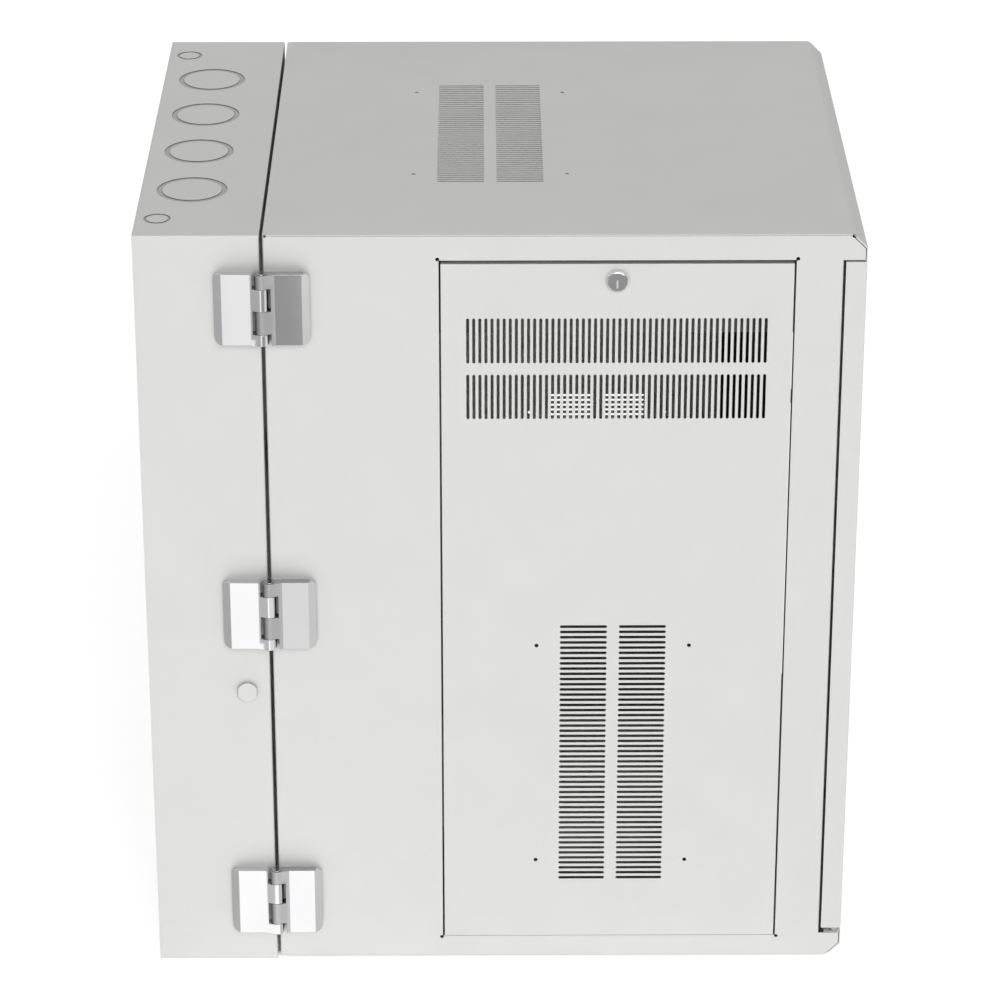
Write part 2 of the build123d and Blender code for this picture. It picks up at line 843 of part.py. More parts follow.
with BuildPart() as door_frame:
    with BuildSketch(Plane.XZ.offset(-front)):
        with Locations((0, door_middle)):
            Rectangle(width, door_height)
    extrude(amount=-door_depth)
    fillet(door_frame.faces().sort_by(Axis.Y)[0].edges(), radius=bend)
    offset(amount=-sheet, openings=door_frame.faces().sort_by(Axis.Y)[-1])
    with BuildSketch(Plane.XZ.offset(-front)):
        with Locations((0, door_middle)):
            RectangleRounded(window_width, window_height, window_corner_r)
        with Locations((door_lock_x, door_middle)):
            Circle(lock_body_r + lock_hole_play)
    extrude(amount=-sheet, mode=Mode.SUBTRACT)
    with BuildSketch(Plane.XY.offset(door_middle)):
        with Locations((door_pin_x, door_pin_y)):
            Circle(door_pin_r + running)
    extrude(amount=door_height, both=True, mode=Mode.SUBTRACT)
save(door_frame.part, "door_frame")

gasket_face = -front - sheet
with BuildPart() as window_gasket:
    with BuildSketch(Plane.XZ.offset(gasket_face)):
        with Locations((0, door_middle)):
            Rectangle(pane_width, pane_height)
            Rectangle(pane_width - 2 * gasket_width, pane_height - 2 * gasket_width, mode=Mode.SUBTRACT)
    extrude(amount=-gasket_sheet)
save(window_gasket.part, "window_gasket")

with BuildPart() as door_window:
    with BuildSketch(Plane.XZ.offset(gasket_face - gasket_sheet)):
        with Locations((0, door_middle)):
            Rectangle(pane_width, pane_height)
    extrude(amount=-window_sheet)
save(door_window.part, "door_window")

pane_back = gasket_sheet + window_sheet


def retainer_section(reach):
    """Section of a strip that is fixed to the door outside the pane and laps over the pane's edge."""
    with BuildSketch() as section:
        with BuildLine():
            Polyline(
                (reach + touch, 0),
                (reach + touch, pane_back),
                (reach - retainer_lap, pane_back),
                (reach - retainer_lap, pane_back + retainer_sheet),
                (reach + touch + retainer_sheet, pane_back + retainer_sheet),
                (reach + touch + retainer_sheet, retainer_sheet),
                (reach + touch + retainer_foot, retainer_sheet),
                (reach + touch + retainer_foot, 0),
                close=True,
            )
        make_face()
    return section.sketch


with BuildPart() as window_retainers:
    for side in sides.values():
        upright = Plane(origin=(0, front + sheet, door_middle), x_dir=(side, 0, 0), z_dir=(0, 0, side))
        across = Plane(origin=(0, front + sheet, door_middle), x_dir=(0, 0, side), z_dir=(-side, 0, 0))
        with BuildSketch(upright):
            add(retainer_section(pane_width / 2))
        extrude(amount=pane_height / 2, both=True)
        with BuildSketch(across):
            add(retainer_section(pane_height / 2))
        extrude(amount=pane_width / 2 - retainer_lap - touch, both=True)
save(window_retainers.part, "window_retainers")


def door_pin(edge, inward, gap):
    """Pin that is headed in the rail and stands in the end of the door, with a collar in the gap."""
    with BuildPart() as pin:
        with BuildSketch(Plane.XY.offset(edge - inward * (sheet + door_pin_head))):
            with Locations((door_pin_x, door_pin_y)):
                Circle(door_pin_head_r)
        extrude(amount=inward * door_pin_head)
        with BuildSketch(Plane.XY.offset(edge - inward * sheet)):
            with Locations((door_pin_x, door_pin_y)):
                Circle(door_pin_r)
        extrude(amount=inward * door_pin_length)
        with BuildSketch(Plane.XY.offset(edge)):
            with Locations((door_pin_x, door_pin_y)):
                Circle(door_pin_head_r)
        extrude(amount=inward * (gap - touch))
    return pin.part


save(door_pin(rail_edge, -1, door_top_gap), "door_pin_upper")
save(door_pin(sill_edge, 1, door_bottom_gap), "door_pin_lower")
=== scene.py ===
"""Looks of the wall mount network cabinet: finishes, softened edges, round-ended vents, light and camera.

Metres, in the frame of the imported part: X across the width, the front towards -Y, Z up.
"""

import json
import math

import bmesh
import bpy
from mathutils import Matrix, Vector


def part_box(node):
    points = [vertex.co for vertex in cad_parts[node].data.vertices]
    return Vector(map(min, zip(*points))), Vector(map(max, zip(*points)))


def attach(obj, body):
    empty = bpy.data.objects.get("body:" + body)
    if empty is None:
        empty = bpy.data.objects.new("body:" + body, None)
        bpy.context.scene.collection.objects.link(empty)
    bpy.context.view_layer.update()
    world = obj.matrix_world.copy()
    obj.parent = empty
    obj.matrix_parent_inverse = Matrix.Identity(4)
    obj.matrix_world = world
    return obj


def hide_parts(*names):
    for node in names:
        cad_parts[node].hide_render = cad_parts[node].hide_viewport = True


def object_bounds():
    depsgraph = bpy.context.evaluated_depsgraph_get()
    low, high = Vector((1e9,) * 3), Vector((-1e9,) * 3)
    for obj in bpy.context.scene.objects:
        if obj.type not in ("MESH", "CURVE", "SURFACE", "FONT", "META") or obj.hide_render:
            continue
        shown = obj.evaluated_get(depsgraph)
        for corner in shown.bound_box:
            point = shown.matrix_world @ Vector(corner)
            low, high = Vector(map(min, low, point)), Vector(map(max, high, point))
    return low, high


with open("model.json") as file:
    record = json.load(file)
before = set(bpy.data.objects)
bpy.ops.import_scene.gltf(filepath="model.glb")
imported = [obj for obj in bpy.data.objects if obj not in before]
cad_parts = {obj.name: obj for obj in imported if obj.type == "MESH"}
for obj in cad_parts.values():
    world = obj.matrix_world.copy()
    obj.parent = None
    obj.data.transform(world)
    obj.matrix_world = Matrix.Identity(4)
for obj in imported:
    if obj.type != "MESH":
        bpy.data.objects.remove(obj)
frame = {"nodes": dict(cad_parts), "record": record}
cad_low, cad_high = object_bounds()
behaviour = frame["record"]["behaviour"]

MM = 0.001
UP = Vector((0.0, 0.0, 1.0))
SIDES = ("left", "right")
CORNERS = ((-1, -1), (1, -1), (1, 1), (-1, 1))
WHITE = (1.0, 1.0, 1.0, 1.0)

# Sheet and vents
SHEET = 1.5 * MM
SLOT_WIDTH = 3.1 * MM
SLOT_LENGTH = 49.0 * MM
SLOT_PITCH = 6.14 * MM
SLOT_COUNT = 50
COLUMN_PITCH = 61.5 * MM
UPPER_VENT_BELOW_TOP = 144.9 * MM
LOWER_VENT_ABOVE_BOTTOM = 247.8 * MM
ROOF_VENT_FROM_REAR = 228.2 * MM
FAN_SPACING_SHORT = 159.4 * MM
FAN_SPACING_LONG = 257.0 * MM
FAN_HOLE_R = 2.1 * MM
END_STEPS = 10
HOLE_STEPS = 32
CUT_PAST = 1.0 * MM
WELD = 0.002 * MM

# Key slots, each closed by a pale shutter that is a painted highlight
LOCK_FACES = {"swing": (1, 0, 0), "left": (-1, 0, 0), "right": (1, 0, 0), "door": (0, -1, 0)}
HIGHLIGHT_WIDTH = 1.8 * MM
HIGHLIGHT_LENGTH = 8.0 * MM
HIGHLIGHT_RISE = -2.2 * MM
HIGHLIGHT_DEPTHS = (3.02 * MM, 3.3 * MM)

# Softened edges
HINGE_ROUND = 1.1 * MM
PLUG_ROUND = 0.3 * MM
LOCK_RIM = 0.9 * MM
LOCK_RIM_RADII = (9.5 * MM, 11.5 * MM)
PIN_ROUND = 0.4 * MM
KNUCKLE_REACH = 13.0 * MM
ROUND_STEPS = 3
ROUND_ANGLE = math.radians(28)
FOLD_ANGLE = math.radians(12)
SMOOTH_ANGLE = math.radians(40)
FLAT_ANGLE = math.radians(0.5)
FLAT_WEIGHT = 100

# Camera
CAMERA_PLACE = (-4.0826, -0.3474, 1.8759)
CAMERA_AIM = (-0.305, -0.3678, 0.1280)
CAMERA_LENS = 145.82

# Light and stage
SUN_TURN = math.radians(12)
SUN_RISE = math.radians(24)
SUN_SPREAD = math.radians(50)
SUN_STRENGTH = 1.75
FLOOR_SIZE = 40.0
FLOOR_TONE = 0.80
FLOOR_GLOW = 0.60
# Painted shadow under the object: shares of its half size where the floor's glow starts and where it is full
UNDER_SHADOW_SHARES = (0.90, 0.935)
SKY_LIGHT = 0.40
SKY_MIRROR = ((0.05, (0.10, 0.10, 0.11)), (0.75, (0.90, 0.90, 0.90)))

# Floor as the hinges mirror it: tones by the turn about a point, brighter close by, and grey cards.
# Each card has the middle and half width of its X range, the Y that it lies in front of, and its tone.
MIRROR_X = -0.26
MIRROR_BANDS = ((-90, 0.37), (-31, 0.48), (-25, 0.97), (21, 0.97), (27, 0.48), (90, 0.58))
CLOSE_BAND = (-1.4, -1.3)
CLOSE_GLOW = 1.2
CARDS = ((-6.6, 5.0, -0.02, 0.347), (-1.05, 0.35, -0.087, 0.83))

# Patches, grain and edges of the finishes
PATCH_SCALE = 18.0
PATCH_DETAIL = 4.0
PATCH_STEPS = (0.3, 0.7)
GRAIN_DETAIL = 3.0
GRAIN_HEIGHT = 0.1 * MM
EDGE_SOFT = 0.3 * MM
EDGE_SAMPLES = 4
PANE_BENDING = 1.49

# Painted crease shade, as if light came from below: tones by how open a spot is, and heights where they fade
# in
CREASE_REACH = 35.0 * MM
CREASE_SAMPLES = 6
CREASE_LEAN = (0.0, 0.0, -0.8)
PAINT_CREASE_SHADES = ((0.0, 0.85), (0.12, 0.5), (0.25, 0.40), (0.80, 1.0))
METAL_CREASE_SHADES = ((0.0, 0.08), (0.15, 0.2), (0.3, 0.8), (0.4, 1.0))
CREASE_START = 25.0 * MM
CREASE_FULL = 60.0 * MM

# Painted shade in cut edges: slot walls, score grooves and sheet edges
ROOF_CUT_SHADE = 0.55
SCORE_SHADE = 0.25
SLOT_SHADE = 0.08
SCORE_FLOOR_SHADE = 0.40
CUT_LEAN = (0.2, 0.6)
CUT_HALF_DEPTH = 0.72 * MM
SCORE_HALF_WIDTH = 302.0 * MM
VENT_HALF_DEPTH = 165.0 * MM
VENT_HALF_HEIGHT = 345.0 * MM

# Looks: dark and light tone, metallic, range of roughness, scale and strength of the grain,
# and the radius of the soft edge where it is not the usual one
LOOKS = {
    "powder_paint": ((0.775, 0.777, 0.762), (0.795, 0.797, 0.782), 0.0, (0.42, 0.50), 1400.0, 0.10),
    "polished_casting": ((0.81, 0.81, 0.82), (0.86, 0.86, 0.87), 1.0, (0.07, 0.15), 700.0, 0.05),
    "satin_casting": ((0.53, 0.53, 0.535), (0.56, 0.56, 0.565), 1.0, (0.50, 0.60), 900.0, 0.06),
    "lock_plating": ((0.78, 0.78, 0.79), (0.84, 0.84, 0.85), 1.0, (0.10, 0.18), 900.0, 0.05, 0.05 * MM),
    # Pale shutter in the key slots: painted highlight
    "slot_highlight_paint": ((0.70, 0.70, 0.70), (0.76, 0.76, 0.76), 0.0, (0.35, 0.45), 900.0, 0.05),
    "ground_steel": ((0.55, 0.53, 0.58), (0.62, 0.60, 0.66), 1.0, (0.20, 0.30), 1200.0, 0.06),
    "zinc_plating": ((0.52, 0.53, 0.54), (0.62, 0.63, 0.64), 1.0, (0.28, 0.42), 600.0, 0.08),
    "black_coat": ((0.016, 0.016, 0.017), (0.024, 0.024, 0.025), 0.0, (0.40, 0.55), 1500.0, 0.15),
    "support_shade_grey": ((0.22, 0.22, 0.22), (0.26, 0.26, 0.26), 0.0, (0.45, 0.60), 1500.0, 0.12),
    "pale_brass": ((0.66, 0.63, 0.47), (0.74, 0.71, 0.55), 1.0, (0.18, 0.30), 1100.0, 0.06),
    "nylon": ((0.64, 0.60, 0.70), (0.70, 0.66, 0.76), 0.0, (0.35, 0.45), 900.0, 0.05),
    "rubber": ((0.018, 0.018, 0.018), (0.030, 0.030, 0.030), 0.0, (0.65, 0.80), 800.0, 0.20),
    "smoked_acrylic": ((0.13, 0.14, 0.145), (0.15, 0.16, 0.165), 0.0, (0.02, 0.05), 60.0, 0.02, 0.2 * MM),
}
SLOT_LOOKS = {
    "cabinet_paint": "powder_paint",
    "hinge_chrome": "polished_casting",
    "lock_chrome": "lock_plating",
    "pin_steel": "ground_steel",
    "zinc_plate": "zinc_plating",
    "rail_black": "black_coat",
    "pin_brass": "pale_brass",
    "washer_nylon": "nylon",
    "gasket_rubber": "rubber",
    "window_pane": "smoked_acrylic",
}


# Finishes


def grey(tone):
    """Colour of a grey tone."""
    return (tone, tone, tone)


class Tree:
    """Node tree of a material or world, with short ways to add nodes and join them."""

    def __init__(self, owner):
        owner.use_nodes = True
        self.nodes = owner.node_tree.nodes
        self.link = owner.node_tree.links.new

    def fill(self, node, inputs):
        """Give a node's inputs a value each, or a socket to join."""
        for name, value in inputs.items():
            if isinstance(value, bpy.types.NodeSocket):
                self.link(value, node.inputs[name])
            else:
                node.inputs[name].default_value = value

    def add(self, kind, inputs, **settings):
        """New node with its inputs and settings."""
        node = self.nodes.new(f"ShaderNode{kind}")
        for name, value in settings.items():
            setattr(node, name, value)
        self.fill(node, inputs)
        return node

    def figure(self, operation, *values):
        """Result of a sum on sockets and numbers."""
        return self.add("Math", dict(enumerate(values)), operation=operation).outputs["Value"]

    def spread(self, value, given, wanted=(0.0, 1.0)):
        """Value moved from a given range to a wanted one."""
        ends = {"From Min": given[0], "From Max": given[1], "To Min": wanted[0], "To Max": wanted[1]}
        return self.add("MapRange", {"Value": value, **ends}).outputs["Result"]

    def ramp(self, value, steps):
        """Colour by a value, through steps that each have a position and a colour."""
        node = self.add("ValToRGB", {"Fac": value})
        elements = node.color_ramp.elements
        while len(elements) < len(steps):
            elements.new(0.5)
        for element, (position, colour) in zip(elements, steps):
            element.position = position
            element.color = (*colour, 1.0)
        return node.outputs["Color"]

    def blend(self, share, below, above):
        """Shader mixed from two others by a share."""
        return self.add("MixShader", {0: share, 1: below, 2: above}).outputs["Shader"]


def painted_crease_shade(tree, tones):
    """Painted shade: a tone that darkens where neighbours keep the light from below away, and its share by
    height.
    """
    spot = tree.add("NewGeometry", {})
    leaning = tree.add("VectorMath", {0: spot.outputs["Normal"], 1: CREASE_LEAN})
    towards = tree.add("VectorMath", {0: leaning.outputs["Vector"]}, operation="NORMALIZE")
    openness = tree.add(
        "AmbientOcclusion",
        {"Distance": CREASE_REACH, "Normal": towards.outputs["Vector"]},
        samples=CREASE_SAMPLES,
    )
    tone = tree.ramp(openness.outputs["AO"], [(opening, grey(level)) for opening, level in tones])
    place = tree.add("SeparateXYZ", {"Vector": spot.outputs["Position"]})
    share = tree.spread(place.outputs["Z"], (cad_low.z + CREASE_START, cad_low.z + CREASE_FULL))
    return tone, share


def finish(name, dark, light, metallic, rough, grain, relief, edge=EDGE_SOFT):
    """Material with a fine grain in its relief, patches that shift its colour and roughness a little, and
    painted crease shade in its colour.
    """
    material = bpy.data.materials.new(name)
    tree = Tree(material)
    place = tree.add("TexCoord", {}).outputs["Object"]
    mottle = tree.add("TexNoise", {"Vector": place, "Scale": PATCH_SCALE, "Detail": PATCH_DETAIL})
    patch = mottle.outputs["Fac"]
    tone = tree.ramp(patch, list(zip(PATCH_STEPS, (dark, light))))
    crease, share = painted_crease_shade(tree, METAL_CREASE_SHADES if metallic else PAINT_CREASE_SHADES)
    # Painted shade: the base colour darkens where neighbours keep light from below away, on paint and metal
    # alike
    shade_painted_tone = tree.add("MixRGB", {"Fac": share, "Color1": tone, "Color2": crease}, blend_type="MULTIPLY")

    skin = tree.add("TexNoise", {"Vector": place, "Scale": grain, "Detail": GRAIN_DETAIL})
    corner = tree.add("Bevel", {"Radius": edge}, samples=EDGE_SAMPLES)
    bump = tree.add(
        "Bump",
        {
            "Strength": relief,
            "Distance": GRAIN_HEIGHT,
            "Height": skin.outputs["Fac"],
            "Normal": corner.outputs["Normal"],
        },
    )
    tree.fill(
        tree.nodes["Principled BSDF"],
        {
            "Metallic": metallic,
            "Base Color": shade_painted_tone.outputs["Color"],
            "Roughness": tree.spread(patch, (0.0, 1.0), rough),
            "Normal": bump.outputs["Normal"],
        },
    )
    return material


def look(name):
    """Finish from the list of looks."""
    return finish(name, *LOOKS[name])


def paint(name):
    """Powder paint under a name of its own."""
    return finish(name, *LOOKS["powder_paint"])


def make_clear(material):
    """Let light through a finish, as through acrylic."""
    tree = Tree(material)
    tree.fill(tree.nodes["Principled BSDF"], {"Transmission Weight": 1.0, "IOR": PANE_BENDING})


def paint_cut_shade(material, axis, face, limits, tone, level_share=0.0):
    """Paint shade into the cut edges of a sheet across an axis inside limits, and less of it into the floors
    of its grooves.
    """
    tree = Tree(material)
    base = tree.nodes["Principled BSDF"].inputs["Base Color"]
    spot = tree.add("TexCoord", {})
    place = tree.add("SeparateXYZ", {"Vector": spot.outputs["Object"]})
    facing = tree.add("SeparateXYZ", {"Vector": spot.outputs["Normal"]})
    depth = tree.figure("ABSOLUTE", tree.figure("SUBTRACT", place.outputs[axis], face))
    share = tree.spread(tree.figure("ABSOLUTE", facing.outputs[axis]), CUT_LEAN, (1.0, level_share))
    tests = [(depth, SHEET / 2, CUT_HALF_DEPTH)]
    tests += [(place.outputs[side], *limit) for side, limit in limits.items()]
    for value, middle, half in tests:
        share = tree.figure("MULTIPLY", share, tree.figure("COMPARE", value, middle, half))
    cut_shade_mix = tree.add(
        "MixRGB",
        {"Fac": share, "Color1": base.links[0].from_socket, "Color2": (*grey(tone), 1.0)},
        blend_type="MULTIPLY",
    )
    tree.link(cut_shade_mix.outputs["Color"], base)
    return material


finishes = {slot: look(name) for slot, name in SLOT_LOOKS.items()}
make_clear(finishes["window_pane"])
knuckle_finish = look("satin_casting")
slot_highlight_finish = look("slot_highlight_paint")
support_shade_finish = look("support_shade_grey")
# Painted shade in the roof's slots and edges, the wall panels' knockout scores and the side panels' slots
scored = {"X": (0.0, SCORE_HALF_WIDTH)}
own_finishes = {"roof_panel": paint_cut_shade(paint("roof_paint"), "Z", cad_high.z, {}, ROOF_CUT_SHADE)}
for end, face in (("top", cad_high.z), ("bottom", cad_low.z)):
    score_shaded_paint = paint_cut_shade(paint(f"wall_{end}_paint"), "Z", face, scored, SCORE_SHADE, SCORE_FLOOR_SHADE)
    own_finishes[f"wall_{end}_panel"] = score_shaded_paint
for side in SIDES:
    panel_low, panel_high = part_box(f"{side}_side_panel")
    face = panel_low.x if side == "left" else panel_high.x
    vented = {"Y": ((panel_low.y + panel_high.y) / 2, VENT_HALF_DEPTH), "Z": (0.0, VENT_HALF_HEIGHT)}
    slot_shaded_paint = paint_cut_shade(paint(f"{side}_panel_paint"), "X", face, vented, SLOT_SHADE)
    own_finishes[f"{side}_side_panel"] = slot_shaded_paint
slot_of = {}
for node_name, node in frame["nodes"].items():
    slot_of[node_name] = node.data.materials[0].name.split(".")[0]
    # Painted shade: the rail supports get a dark grey, as dark as the shaded inside of the cabinet
    if node_name.startswith("rail_support"):
        own_finishes[node_name] = support_shade_finish
    node.data.materials[0] = own_finishes.get(node_name, finishes[slot_of[node_name]])


# Pieces made from CAD nodes


def joint_place(joint_name):
    """Point on a joint's axis."""
    for joint in behaviour["joints"]:
        if joint["name"] == joint_name:
            return Vector(joint["pos_m"])


def body_of(node_name):
    """Body that carries a CAD node."""
    for body, members in behaviour["bodies"].items():
        if node_name in members:
            return body


def welded_copy(node_name):
    """Copy of a CAD node with its faces joined along their edges."""
    mesh = frame["nodes"][node_name].data.copy()
    work = bmesh.new()
    work.from_mesh(mesh)
    bmesh.ops.remove_doubles(work, verts=work.verts, dist=WELD)
    work.to_mesh(mesh)
    work.free()
    mesh.attributes.remove(mesh.attributes["custom_normal"])
    copy = bpy.data.objects.new(f"{node_name}_look", mesh)
    bpy.context.scene.collection.objects.link(copy)
    return copy


def settle(piece):
    """Turn a piece's modifiers into its mesh."""
    depsgraph = bpy.context.evaluated_depsgraph_get()
    mesh = bpy.data.meshes.new_from_object(piece.evaluated_get(depsgraph))
    piece.modifiers.clear()
    piece.data = mesh


def stand_in(piece, node_name):
    """Show a piece in place of a CAD node, on the same body and with the same finish."""
    piece.data.materials.clear()
    piece.data.materials.append(own_finishes.get(node_name, finishes[slot_of[node_name]]))
    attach(piece, body_of(node_name))
    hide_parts(node_name)


def soften(node_name, width, chosen=None):
    """Stand-in for a CAD node with its sharp edges rounded, or only the chosen ones of them."""
    piece = welded_copy(node_name)
    piece.data.shade_smooth()
    work = bmesh.new()
    work.from_mesh(piece.data)
    bmesh.ops.dissolve_limit(work, angle_limit=FLAT_ANGLE, verts=work.verts, edges=work.edges)
    weights = work.edges.layers.float.new("bevel_weight_edge")
    for edge in work.edges:
        angle = edge.calc_face_angle(0.0)
        rounded = angle > ROUND_ANGLE and (chosen is None or chosen(edge))
        edge[weights] = 1.0 if rounded else 0.0
        edge.smooth = rounded or angle < FOLD_ANGLE
    work.to_mesh(piece.data)
    work.free()
    rounding = piece.modifiers.new("rounding", "BEVEL")
    rounding.width = width
    rounding.segments = ROUND_STEPS
    rounding.limit_method = "WEIGHT"
    rounding.use_clamp_overlap = True
    flats = piece.modifiers.new("flats", "WEIGHTED_NORMAL")
    flats.weight = FLAT_WEIGHT
    flats.keep_sharp = True
    settle(piece)
    stand_in(piece, node_name)
    return piece


def prism(work, outline, place, near, far):
    """Add a closed prism to a mesh, from an outline in two axes and its two ends along the third."""
    ends = [[work.verts.new(place(a, b, depth)) for a, b in outline] for depth in (near, far)]
    for end in ends:
        work.faces.new(end)
    for i in range(len(outline)):
        j = (i + 1) % len(outline)
        work.faces.new((ends[0][i], ends[0][j], ends[1][j], ends[1][i]))


def slot_outline(a, b, along_b):
    """Round-ended slot about a point, long in the second axis or in the first."""
    r = SLOT_WIDTH / 2
    straight = SLOT_LENGTH / 2 - r
    outline = []
    for end in (1, -1):
        for i in range(END_STEPS + 1):
            turn = math.pi * i / END_STEPS
            across = end * r * math.cos(turn)
            along = end * (straight + r * math.sin(turn))
            outline.append((a + across, b + along) if along_b else (a + along, b + across))
    return outline


def hole_outline(a, b, r):
    """Round hole about a point."""
    turns = [2 * math.pi * i / HOLE_STEPS for i in range(HOLE_STEPS)]
    return [(a + r * math.cos(turn), b + r * math.sin(turn)) for turn in turns]


def box_outline(a, b, wide, tall):
    """Rectangle about a point."""
    return [(a + i * wide / 2, b + j * tall / 2) for i, j in CORNERS]


class Vent:
    """Two columns of slots about a point, side by side in the first axis or in the second."""

    def __init__(self, a, b, columns_along_a, holes=None):
        row = [(i - (SLOT_COUNT - 1) / 2) * SLOT_PITCH for i in range(SLOT_COUNT)]
        run = SLOT_COUNT * SLOT_PITCH
        patch_width = SLOT_LENGTH + SLOT_PITCH / 2
        self.slots = []
        self.patches = []
        for column in (-COLUMN_PITCH / 2, COLUMN_PITCH / 2):
            if columns_along_a:
                self.slots += [slot_outline(a + column, b + step, False) for step in row]
                self.patches.append(box_outline(a + column, b, patch_width, run))
            else:
                self.slots += [slot_outline(a + step, b + column, True) for step in row]
                self.patches.append(box_outline(a, b + column, run, patch_width))
        if holes:
            self.slots += [hole_outline(x, y, FAN_HOLE_R) for x, y in box_outline(a, b, *holes)]


def solid(name, outlines, place, near, far):
    """Object made of one prism for each outline."""
    work = bmesh.new()
    for outline in outlines:
        prism(work, outline, place, near, far)
    bmesh.ops.recalc_face_normals(work, faces=work.faces)
    mesh = bpy.data.meshes.new(name)
    work.to_mesh(mesh)
    work.free()
    piece = bpy.data.objects.new(name, mesh)
    bpy.context.scene.collection.objects.link(piece)
    return piece


def recut(node_name, vents, place, outer, inward):
    """Stand-in for a vented sheet, with round-ended slots in place of the plain ones."""
    piece = welded_copy(node_name)
    inner = outer + inward * SHEET
    patches = [patch for vent in vents for patch in vent.patches]
    slots = [slot for vent in vents for slot in vent.slots]
    filler = solid("filler", patches, place, outer, inner)
    cutter = solid("cutter", slots, place, outer - inward * CUT_PAST, inner + inward * CUT_PAST)
    for tool, operation in ((filler, "UNION"), (cutter, "DIFFERENCE")):
        cut = piece.modifiers.new(operation, "BOOLEAN")
        cut.operation = operation
        cut.solver = "MANIFOLD"
        cut.object = tool
    settle(piece)
    bpy.data.objects.remove(filler)
    bpy.data.objects.remove(cutter)
    piece.data.shade_smooth()
    piece.data.set_sharp_from_angle(angle=SMOOTH_ANGLE)
    stand_in(piece, node_name)


def key_slot_highlight(place, outward):
    """Pale shutter that closes the key slot of a lock: a painted highlight in place of the slot's bright
    reflection.
    """
    middle = joint_place(f"{place}_lock_turn")
    out = Vector(outward)
    across = out.cross(UP)
    piece = solid(
        f"{place}_key_slot_highlight",
        [box_outline(0.0, HIGHLIGHT_RISE, HIGHLIGHT_WIDTH, HIGHLIGHT_LENGTH)],
        lambda a, b, depth: middle + across * a + UP * b + out * depth,
        *HIGHLIGHT_DEPTHS,
    )
    piece.data.materials.append(slot_highlight_finish)
    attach(piece, f"{place}_lock")


def on_rim(node_name):
    """Test for the edges on the front rim of a lock's housing."""
    low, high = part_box(node_name)
    middle = (low + high) / 2
    along = "y" if node_name.startswith("door") else "x"

    def test(edge):
        offset = (edge.verts[0].co + edge.verts[1].co) / 2 - middle
        setattr(offset, along, 0.0)
        return LOCK_RIM_RADII[0] < offset.length < LOCK_RIM_RADII[1]

    return test


def dull_knuckles(leaf):
    """Give the knuckles and necks of a hinge leaf their satin finish."""
    leaf.data.materials.append(knuckle_finish)
    for face in leaf.data.polygons:
        face.material_index = int(face.center.y > hinge_y - KNUCKLE_REACH)


hinge_y = joint_place("body_swing").y
roof_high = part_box("roof_panel")[1]
floor_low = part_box("floor_panel")[0]
for side in SIDES:
    panel_low, panel_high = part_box(f"{side}_side_panel")
    middle = (panel_low.y + panel_high.y) / 2
    upper = Vent(middle, roof_high.z - UPPER_VENT_BELOW_TOP, False)
    lower = Vent(middle, floor_low.z + LOWER_VENT_ABOVE_BOTTOM, True, (FAN_SPACING_SHORT, FAN_SPACING_LONG))
    on_left = side == "left"
    recut(
        f"{side}_side_panel",
        (upper, lower),
        lambda a, b, depth: (depth, a, b),
        panel_low.x if on_left else panel_high.x,
        1 if on_left else -1,
    )
recut(
    "roof_panel",
    (Vent(0.0, roof_high.y - ROOF_VENT_FROM_REAR, False, (FAN_SPACING_LONG, FAN_SPACING_SHORT)),),
    lambda a, b, depth: (a, b, depth),
    roof_high.z,
    -1,
)
for place, outward in LOCK_FACES.items():
    key_slot_highlight(place, outward)
for node_name, slot in slot_of.items():
    if slot == "hinge_chrome":
        leaf = soften(node_name, HINGE_ROUND)
        if node_name.startswith("hinge_body_leaf"):
            dull_knuckles(leaf)
    elif node_name.endswith("lock_housing"):
        soften(node_name, LOCK_RIM, on_rim(node_name))
    elif node_name == "lock_hole_plug":
        soften(node_name, PLUG_ROUND)
    elif slot in ("pin_steel", "pin_brass"):
        soften(node_name, PIN_ROUND)


# Stage, light and camera


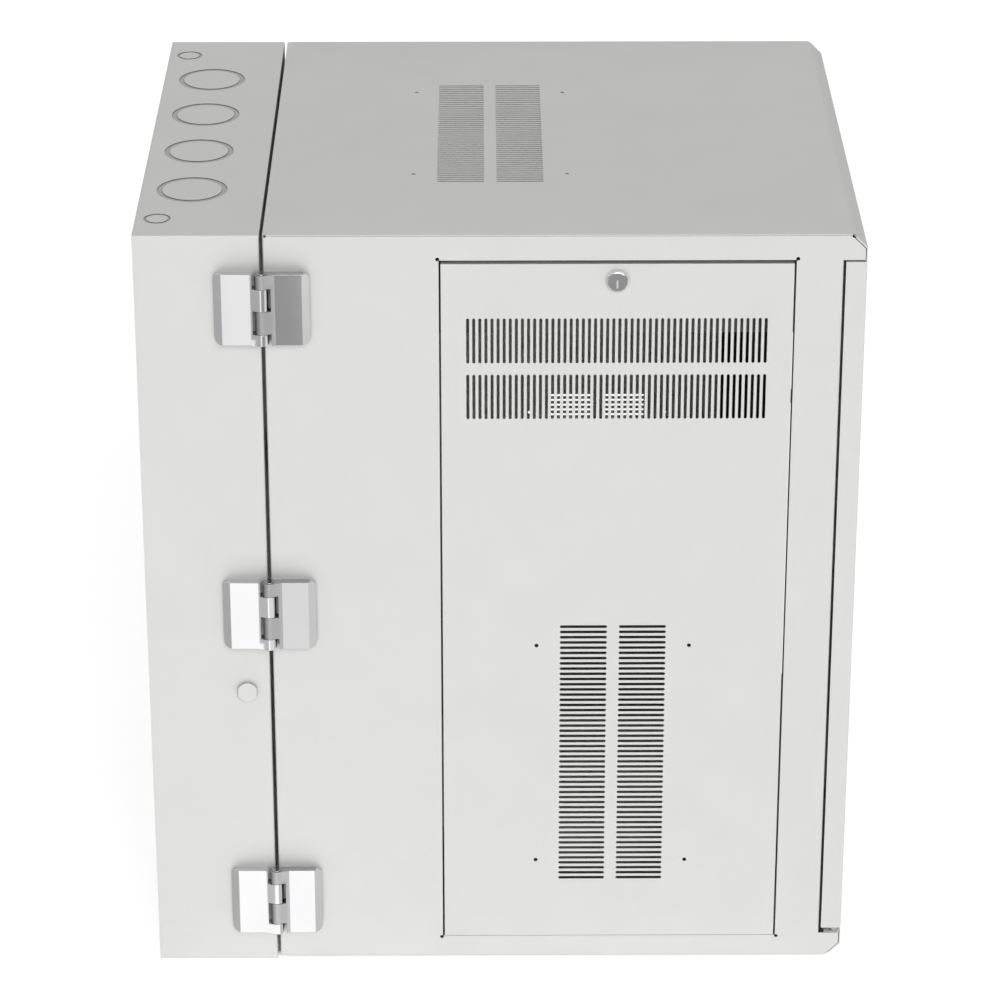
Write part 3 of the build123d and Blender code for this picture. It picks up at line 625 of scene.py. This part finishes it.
def floor_finish():
    """Pale floor that stays white in the picture, with the object's shadow on it and a painted shadow under
    the object, where its glow fades out.

    In mirrors it is white in front of the hinges and grey to the sides, with grey cards on it.
    """
    material = bpy.data.materials.new("floor")
    tree = Tree(material)
    tree.nodes.clear()
    path = tree.add("LightPath", {})
    place = tree.add("NewGeometry", {}).outputs["Position"]

    matt = tree.add("BsdfDiffuse", {"Color": (*grey(FLOOR_TONE), 1.0)}).outputs["BSDF"]
    # Painted shadow: the floor's glow fades out under the object's footprint, leaving only its lit shading
    # there
    offset = tree.add("VectorMath", {0: place, 1: (cad_low + cad_high) / 2}, operation="SUBTRACT")
    either_way = tree.add("VectorMath", {0: offset.outputs["Vector"]}, operation="ABSOLUTE")
    half_box = (cad_high - cad_low) / 2
    reach = tree.add("VectorMath", {0: either_way.outputs["Vector"], 1: half_box}, operation="DIVIDE")
    reaches = tree.add("SeparateXYZ", {"Vector": reach.outputs["Vector"]})
    farther = tree.figure("MAXIMUM", reaches.outputs["X"], reaches.outputs["Y"])
    glow = tree.add("Emission", {"Strength": tree.spread(farther, UNDER_SHADOW_SHARES, (0.0, FLOOR_GLOW))})
    lit = tree.add("AddShader", {0: matt, 1: glow.outputs["Emission"]})
    shown = tree.blend(path.outputs["Is Camera Ray"], matt, lit.outputs["Shader"])

    turned = tree.add(
        "Mapping",
        {"Vector": place, "Location": (MIRROR_X, hinge_y, 0.0), "Scale": (-1.0, -1.0, 1.0)},
    )
    around = tree.add("TexGradient", {"Vector": turned.outputs["Vector"]}, gradient_type="RADIAL")
    steps = [(0.5 + turn / 360.0, grey(tone)) for turn, tone in MIRROR_BANDS]
    bands = tree.ramp(around.outputs["Fac"], steps)
    spot = tree.add("SeparateXYZ", {"Vector": place})
    strength = tree.spread(spot.outputs["X"], CLOSE_BAND, (1.0, CLOSE_GLOW))
    mirrored = tree.add("Emission", {"Color": bands, "Strength": strength}).outputs["Emission"]
    for middle, half_width, edge, tone in CARDS:
        in_width = tree.figure("COMPARE", spot.outputs["X"], middle, half_width)
        in_front = tree.figure("LESS_THAN", spot.outputs["Y"], edge)
        card = tree.add("Emission", {"Color": (*grey(tone), 1.0)}).outputs["Emission"]
        mirrored = tree.blend(tree.figure("MULTIPLY", in_width, in_front), mirrored, card)
    tree.add("OutputMaterial", {"Surface": tree.blend(path.outputs["Is Glossy Ray"], shown, mirrored)})
    return material


def sky():
    """World that lights evenly, is white in the picture, and is dark near the horizon in reflections."""
    world = bpy.data.worlds.new("studio")
    tree = Tree(world)
    light = tree.nodes["Background"]
    tree.fill(light, {"Color": WHITE, "Strength": SKY_LIGHT})
    path = tree.add("LightPath", {})
    white = tree.add("Background", {"Color": WHITE}).outputs["Background"]
    towards = tree.add("SeparateXYZ", {"Vector": tree.add("TexCoord", {}).outputs["Generated"]})
    mirror = tree.add("Background", {"Color": tree.ramp(towards.outputs["Z"], SKY_MIRROR)})
    shown = tree.blend(path.outputs["Is Camera Ray"], light.outputs["Background"], white)
    seen = tree.blend(path.outputs["Is Glossy Ray"], shown, mirror.outputs["Background"])
    tree.fill(tree.nodes["World Output"], {"Surface": seen})
    return world


floor_mesh = bpy.data.meshes.new("floor")
corners = [(x, y, cad_low.z) for x, y in box_outline(0.0, 0.0, FLOOR_SIZE, FLOOR_SIZE)]
floor_mesh.from_pydata(corners, [], [(0, 1, 2, 3)])
floor_mesh.materials.append(floor_finish())
floor = bpy.data.objects.new("floor", floor_mesh)
bpy.context.scene.collection.objects.link(floor)
bpy.context.scene.world = sky()

sun_data = bpy.data.lights.new("sun", "SUN")
sun_data.energy = SUN_STRENGTH
sun_data.angle = SUN_SPREAD
sun = bpy.data.objects.new("sun", sun_data)
bpy.context.scene.collection.objects.link(sun)
flat = math.cos(SUN_RISE)
towards_sun = Vector((-flat * math.cos(SUN_TURN), -flat * math.sin(SUN_TURN), math.sin(SUN_RISE)))
sun.rotation_euler = towards_sun.to_track_quat("Z", "Y").to_euler()

camera_data = bpy.data.cameras.new("camera")
camera_data.lens = CAMERA_LENS
camera = bpy.data.objects.new("camera", camera_data)
bpy.context.scene.collection.objects.link(camera)
camera.location = CAMERA_PLACE
camera.rotation_euler = (Vector(CAMERA_PLACE) - Vector(CAMERA_AIM)).to_track_quat("Z", "Y").to_euler()
bpy.context.scene.camera = camera
bpy.context.scene.view_settings.view_transform = "Standard"
